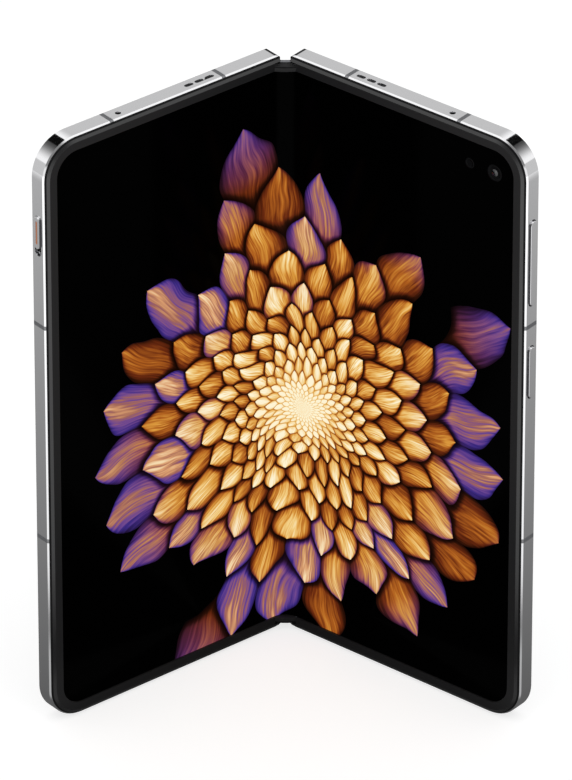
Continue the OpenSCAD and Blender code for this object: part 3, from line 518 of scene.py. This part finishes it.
# Each lip has a groove in its front, under the end that faces outwards, painted dark as shade
guard = {"cuts": (0.4, 0.8, 1.2, 1.6, 2.0, 2.3), "edge": 0.06, "end": 2.09,
         "groove": (0.1, 0.4), "depth": 0.08, "middle": 0.01, "slope": -0.3}
grooveLow, grooveHigh = [guard["end"] + place for place in guard["groove"]]
for side, word in ((1, "right"), (-1, "left")):
    bm = solidMesh("fold_guards")
    cutAcross(bm, (0, 0, 0), (side, 0, 0), clearInner=True)
    bmesh.ops.holes_fill(bm, edges=[edge for edge in bm.edges if edge.is_boundary])
    # The cut in the middle of the fold keeps its sharp edge, where the two halves of a lip meet
    breakEdges(bm, [edge for edge in sharpEdges(bm) if max(
        abs(vert.co.x) for vert in edge.verts) > guard["middle"] * mm], guard["edge"])
    for cut in guard["cuts"]:
        cutAcross(bm, (side * cut * mm, 0, 0), (1, 0, 0))
    for z in (grooveLow, grooveHigh, phone["height"] - grooveLow, phone["height"] - grooveHigh):
        cutAcross(bm, (0, 0, z * mm), (0, 0, 1))
    band = []
    for face in bm.faces:
        fromEnd = face.calc_center_median().z / mm
        fromEnd = min(fromEnd, phone["height"] - fromEnd)
        # The faces of the groove take the black of painted shade
        if grooveLow < fromEnd < grooveHigh and face.normal.y < guard["slope"]:
            face.material_index = 1
            band.append(face)
    bmesh.ops.inset_region(bm, faces=band, thickness=making["wall"] * mm,
                           depth=-guard["depth"] * mm)
    piece = newPiece(word + "Guards", bm, [finish["softGuardRubber"], finish["shadowLineBlack"]])
    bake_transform(piece)
    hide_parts("fold_guards")

print("outside")
# How wide each solid's edges are broken, and how deep the painted shadow line at the foot of the
# rim begins
edges = {"frame": 0.05, "rim": 0.07, "rimShadowLine": 0.42, "antennas": 0.02, "keys": 0.14,
         "slider": 0.1, "inlay": 0.03, "island": 0.28, "rings": 0.16, "panels": 0.14,
         "caps": 0.06, "spine": 0.05}
metal = [finish["satinAluminium"]]
# Rim: matt front, silky flank, and a black line of painted shade at its foot
rimPlastics = [finish[name] for name in ("mouldedRimPlastic", "silkyRimPlastic", "shadowLineBlack")]
stripPlastics = [finish[name] for name in ("mouldedAntennaPlastic", "antennaPaintedHighlight")]
for side, word in ((1, "right"), (-1, "left")):
    dress(word + "_frame", word + "Frame", metal, edges["frame"])
    dress(word + "_rim", word + "Rim", rimPlastics, edges["rim"],
          shape=slotsByLean(side, deep=edges["rimShadowLine"]))
    # On the strips, the sloped faces of the bevel take the painted highlight
    dress(word + "_antenna_inserts", word + "Antennas", stripPlastics, edges["antennas"],
          shape=slotsByLean(side))
# The keys have a grey line of painted shade on the faces in front of them
keyParts = [finish["satinAluminium"], finish["keyFrontShade"]]

dress("volume_key", "volumeKey", keyParts, edges["keys"], 3,
      tint=slotWhereLean(frontOf(1), low=leans["keyShade"]))
dress("power_key", "powerKey", keyParts, edges["keys"], 3,
      tint=slotWhereLean(frontOf(1), low=leans["keyShade"]))
dress("mute_slider", "muteSlider", keyParts, edges["slider"],
      tint=slotWhereLean(frontOf(-1), low=leans["keyShade"]))
dress("mute_inlay", "muteInlay", [finish["orangeInlay"]], edges["inlay"])
dress("camera_island", "cameraIsland", metal, edges["island"], 4)
dress("camera_rings", "cameraRings", [finish["polishedSteel"]], edges["rings"], 3)
dress("back_cover", "backCover", [finish["frostedBackGlass"]], edges["panels"], 3)
dress("cover_glass", "coverGlass", [finish["coverGlass"]], edges["panels"], 3)
dress("spine_end_caps", "spineEndCaps", [finish["rolledSteel"]], edges["caps"])
dress("hinge_spine", "hingeSpine", [finish["rolledSteel"]], edges["spine"])

print("lenses")
# Slots of the lens pieces: 0 cover plate, 1 barrel, 2 front element, 3 its middle
optics = [finish["coverGlass"], finish["barrelBlack"], finish["coatedLensGlass"]]
dimOptics = [finish[name] for name in ("darkWindowGlass", "windowRing", "darkWindowGlass",
                                       "coatedLensGlass")]
# The steps of each window go inwards: how far in, how deep, and the slot
lenses = {
    "edge": 0.02,
    "rear": [(1.3, 0, 0), (0.06, 0.12, 1), (0.7, 0, 1), (0.06, 0.1, 1), (0.6, 0, 1),
             (0.05, 0.08, 2), (0.5, -0.05, 2), (0.6, -0.04, 2), (0.7, -0.02, 2)],
    "inner": [(0.32, 0, 0), (0.1, 0.1, 1), (0.45, 0, 0), (0.05, 0.08, 1), (0.3, -0.05, 2),
              (0.74, -0.03, 3)],
    "sensor": [(0.3, 0, 0), (0.05, 0.04, 2), (0.4, 0, 2)],
    "cover": [(0.5, 0, 0), (0.06, 0.1, 1), (0.4, 0, 1), (0.05, 0.06, 2), (0.3, -0.04, 2)],
    "lamp": [(0.25, 0.05, 0), (0.25, -0.05, 0), (0.25, 0.05, 0), (0.25, -0.05, 0),
             (0.25, 0.05, 0), (0.25, -0.05, 0)]}
dress("camera_glasses", "cameraGlasses", optics, lenses["edge"],
      shape=windowSteps(-frontOf(1), lenses["rear"]))
dress("inner_camera", "innerCamera", dimOptics, lenses["edge"],
      shape=windowSteps(frontOf(1), lenses["inner"]))
dress("light_sensor", "lightSensor", dimOptics, lenses["edge"],
      shape=windowSteps(frontOf(1), lenses["sensor"]))
dress("cover_camera", "coverCamera", optics, lenses["edge"],
      shape=windowSteps(-frontOf(-1), lenses["cover"]))
dress("flash_lamp", "flashLamp", [finish["lampPhosphor"]], lenses["edge"],
      shape=windowSteps(-frontOf(1), lenses["lamp"]))

# Solids that show only through openings keep their own mesh
inside = {
    "rolledSteel": ["hinge_brackets", "left_hinge_arms", "right_hinge_arms", "left_hinge_screws",
                    "right_hinge_screws", "board_screws"],
    "wovenMesh": ["left_meshes", "right_meshes"],
    "pouchFoil": ["left_battery", "right_battery"],
    "epoxyBoard": ["left_board", "main_board"],
    "tinnedSteel": ["processor_shield", "left_magnets", "right_magnets", "charging_port",
                    "vibration_motor", "card_reader"],
    "blackNylon": ["left_speaker", "right_speaker", "mute_switch", "camera_modules",
                   "key_switches"],
    "copperFilm": ["charging_coil"],
    "coverGlass": ["cover_display"],
    "satinAluminium": ["card_tray"]}
for name, nodes in inside.items():
    for node in nodes:
        mesh = frame["nodes"][node].data
        mesh.materials.clear()
        mesh.materials.append(finish[name])

print("studio")
# Places are in metres; wedge and front are shares of the distance that lie ahead
floor = {"radius": 0.6, "under": 0.05, "segments": 96, "nearGrey": 0.035, "greyRise": 1.39,
         "wedgeGrey": 0.3, "wedgeRise": 2.6, "wedge": (-0.44, -0.5), "front": (-0.64, -0.74),
         "ahead": (-0.056, -0.1), "frontNear": 0.05, "frontFar": 1.0, "farther": (-0.08, -0.25),
         "fartherRise": 0.45, "bounce": 0.8, "paint": 0.7, "shadow": 0.5}
floorMaterial = bpy.data.materials.new("paintedFloor")  # white with a soft shadow to the camera
floorMaterial.use_nodes = True
tree = floorMaterial.node_tree
tree.nodes.clear()
path = addNode(tree, "ShaderNodeLightPath").outputs
place = addNode(tree, "ShaderNodeTexCoord").outputs["Object"]
parts = addNode(tree, "ShaderNodeSeparateXYZ", {0: place}).outputs
distance = addNode(tree, "ShaderNodeVectorMath", {0: place}, operation="LENGTH").outputs["Value"]
toFront = addNode(tree, "ShaderNodeMath", {0: parts["Y"], 1: distance}, operation="DIVIDE")
# In reflections: grey that pales outwards at the sides, a paler wedge, and a bright front
sideGrey = addNode(tree, "ShaderNodeMath", {0: distance, 1: floor["greyRise"],
                                            2: floor["nearGrey"]}, operation="MULTIPLY_ADD")
wedgeGrey = addNode(tree, "ShaderNodeMath", {0: distance, 1: floor["wedgeRise"],
                                             2: floor["wedgeGrey"]}, operation="MULTIPLY_ADD")
wedge, front = [addNode(tree, "ShaderNodeMapRange", {"Value": toFront, "From Min": low,
                                                     "From Max": high},
                        interpolation_type="SMOOTHSTEP")
                for low, high in (floor["wedge"], floor["front"])]
ahead = addNode(tree, "ShaderNodeMapRange", {
    "Value": parts["Y"], "From Min": floor["ahead"][0], "From Max": floor["ahead"][1],
    "To Min": floor["frontNear"], "To Max": floor["frontFar"]}, interpolation_type="SMOOTHSTEP")
farther = addNode(tree, "ShaderNodeMapRange", {
    "Value": parts["Y"], "From Min": floor["farther"][0], "From Max": floor["farther"][1],
    "To Max": floor["fartherRise"]})
frontGrey = addNode(tree, "ShaderNodeMath", {0: ahead, 1: farther}, operation="ADD")
grey = addNode(tree, "ShaderNodeMix", {"Factor": wedge, "A": sideGrey, "B": wedgeGrey})
level = addNode(tree, "ShaderNodeMix", {"Factor": front, "A": grey, "B": frontGrey})
mirrored = addNode(tree, "ShaderNodeEmission", {"Strength": level})
bounce, shadow = [addNode(tree, "ShaderNodeBsdfDiffuse", {"Color": [floor[name]] * 3 + [1]})
                  for name in ("bounce", "shadow")]
paint = addNode(tree, "ShaderNodeEmission", {"Strength": floor["paint"]})
seen = addNode(tree, "ShaderNodeAddShader", {0: paint, 1: shadow})
lit = addNode(tree, "ShaderNodeMixShader", {0: path["Is Glossy Ray"], 1: bounce, 2: mirrored})
direct = addNode(tree, "ShaderNodeMath", {0: path["Is Camera Ray"],
                                          1: path["Is Transmission Ray"]}, operation="MAXIMUM")
shown = addNode(tree, "ShaderNodeMixShader", {0: direct, 1: lit, 2: seen})
# Clear from below, so that the lower ends can be seen
fromBelow = addNode(tree, "ShaderNodeNewGeometry").outputs["Backfacing"]
surface = addNode(tree, "ShaderNodeMixShader", {
    0: fromBelow, 1: shown, 2: addNode(tree, "ShaderNodeBsdfTransparent")})
addNode(tree, "ShaderNodeOutputMaterial", {"Surface": surface})

bm = bmesh.new()
bmesh.ops.create_circle(bm, cap_ends=True, radius=floor["radius"], segments=floor["segments"],
                        matrix=Matrix.Translation((0, 0, -floor["under"] * mm)))
floorMesh = bpy.data.meshes.new("studioFloor")
bm.to_mesh(floorMesh)
bm.free()
floorMesh.materials.append(floorMaterial)
studioFloor = bpy.data.objects.new("studioFloor", floorMesh)
bpy.context.scene.collection.objects.link(studioFloor)

# Levels of light in the room round the phone, as the camera, matt and glossy surfaces see it
room = {"diffuse": 0.6, "wall": 0.64, "wallAside": 1.12, "skirting": 0.03, "flag": 0.003,
        "screenTop": 0.04, "screenFoot": 1.08, "fog": 0.64, "behindCamera": 0.26,
        "overCamera": 1.16, "underCamera": 0.96}
world = bpy.data.worlds.new("studioWorld")
bpy.context.scene.world = world
world.use_nodes = True
tree = world.node_tree
tree.nodes.clear()
path = addNode(tree, "ShaderNodeLightPath").outputs
parts = addNode(tree, "ShaderNodeSeparateXYZ",
                {0: addNode(tree, "ShaderNodeTexCoord").outputs["Generated"]}).outputs
sideways = addNode(tree, "ShaderNodeMath", {0: parts["X"]}, operation="ABSOLUTE")
# Soft steps between the parts of the room: what drives each, where it starts and ends
softSteps = {"aside": (sideways, 0.02, 0.27), "overSkirting": (parts["Z"], 0.36, 0.47),
             "low": (parts["Z"], 0.74, 0.28), "pastFlag": (sideways, 0.56, 0.575),
             "pastWall": (sideways, 0.283, 0.29), "rear": (parts["Y"], 0.0, 0.04),
             "ahead": (parts["Y"], -0.3, -0.62), "sunk": (parts["Z"], 0.21, 0.18),
             "sunkAhead": (parts["Z"], 0.18, 0.02), "overFlag": (parts["Z"], 0.8, 0.83),
             "underFlag": (parts["Z"], 0.64, 0.61)}
masks = {name: addNode(tree, "ShaderNodeMapRange", {"Value": source, "From Min": low,
                                                    "From Max": high},
                       interpolation_type="SMOOTHSTEP")
         for name, (source, low, high) in softSteps.items()}
wall = addNode(tree, "ShaderNodeMix", {"Factor": masks["aside"], "A": room["wall"],
                                       "B": room["wallAside"]})
behind = addNode(tree, "ShaderNodeMix", {"Factor": masks["overSkirting"], "A": room["skirting"],
                                         "B": wall})
screen = addNode(tree, "ShaderNodeMix", {"Factor": masks["low"], "A": room["screenTop"],
                                         "B": room["screenFoot"]})
screen = addNode(tree, "ShaderNodeMix", {"Factor": masks["sunk"], "A": screen, "B": room["fog"]})
# One black flag hangs between the wall and the screen at the side
offFlag = addNode(tree, "ShaderNodeMath", {0: masks["overFlag"], 1: masks["underFlag"]},
                  operation="MAXIMUM")
flag = addNode(tree, "ShaderNodeMix", {"Factor": offFlag, "A": room["flag"], "B": wall})
flags = addNode(tree, "ShaderNodeMix", {"Factor": masks["pastFlag"], "A": flag, "B": screen})
backdrop = addNode(tree, "ShaderNodeMix", {"Factor": masks["pastWall"], "A": behind, "B": flags})
fore = addNode(tree, "ShaderNodeMix", {"Factor": masks["ahead"], "A": room["overCamera"],
                                       "B": room["behindCamera"]})
fore = addNode(tree, "ShaderNodeMix", {"Factor": masks["sunkAhead"], "A": fore,
                                       "B": room["underCamera"]})
reflected = addNode(tree, "ShaderNodeMix", {"Factor": masks["rear"], "A": fore, "B": backdrop})
direct = addNode(tree, "ShaderNodeMath", {0: path["Is Camera Ray"],
                                          1: path["Is Transmission Ray"]}, operation="MAXIMUM")
plain = addNode(tree, "ShaderNodeMix", {"Factor": direct, "A": room["diffuse"], "B": 1.0})
level = addNode(tree, "ShaderNodeMix", {"Factor": path["Is Glossy Ray"], "A": plain,
                                        "B": reflected})
background = addNode(tree, "ShaderNodeBackground", {"Color": (1, 1, 1, 1), "Strength": level})
addNode(tree, "ShaderNodeOutputWorld", {"Surface": background})

softbox = {"size": 0.7, "power": 1.6, "place": (0.0, -0.25, 0.9), "aim": (0, 0, 0.08)}
lamp = bpy.data.lights.new("overheadSoftbox", "AREA")
lamp.shape = "SQUARE"
lamp.size = softbox["size"]
lamp.energy = softbox["power"]
lampObject = bpy.data.objects.new("overheadSoftbox", lamp)
bpy.context.scene.collection.objects.link(lampObject)
lampObject.location = softbox["place"]
lampObject.rotation_euler = (Vector(softbox["aim"]) - Vector(softbox["place"])).to_track_quat(
    "-Z", "Y").to_euler()
lampObject.visible_glossy = False

print("camera")
view = {"distance": 2.456, "downwards": 31.42, "aim": (0.000166, -0.001, 0.0671),
        "raise": 0.26, "focalPixels": 10260.0, "longSide": 780.0, "sensor": 36.0,
        "clip": (0.1, 20)}
camera = bpy.data.cameras.new("studioCamera")
camera.sensor_width = view["sensor"]
camera.lens = view["focalPixels"] / view["longSide"] * view["sensor"]
camera.clip_start, camera.clip_end = view["clip"]
cameraObject = bpy.data.objects.new("studioCamera", camera)
bpy.context.scene.collection.objects.link(cameraObject)
slope = math.radians(view["downwards"])
cameraObject.location = Vector(view["aim"]) + view["distance"] * Vector(
    (0, -math.cos(slope), math.sin(slope)))
cameraObject.rotation_euler = (math.pi / 2 - slope + math.radians(view["raise"]), 0, 0)
bpy.context.scene.camera = cameraObject
bpy.context.scene.view_settings.view_transform = "Standard"
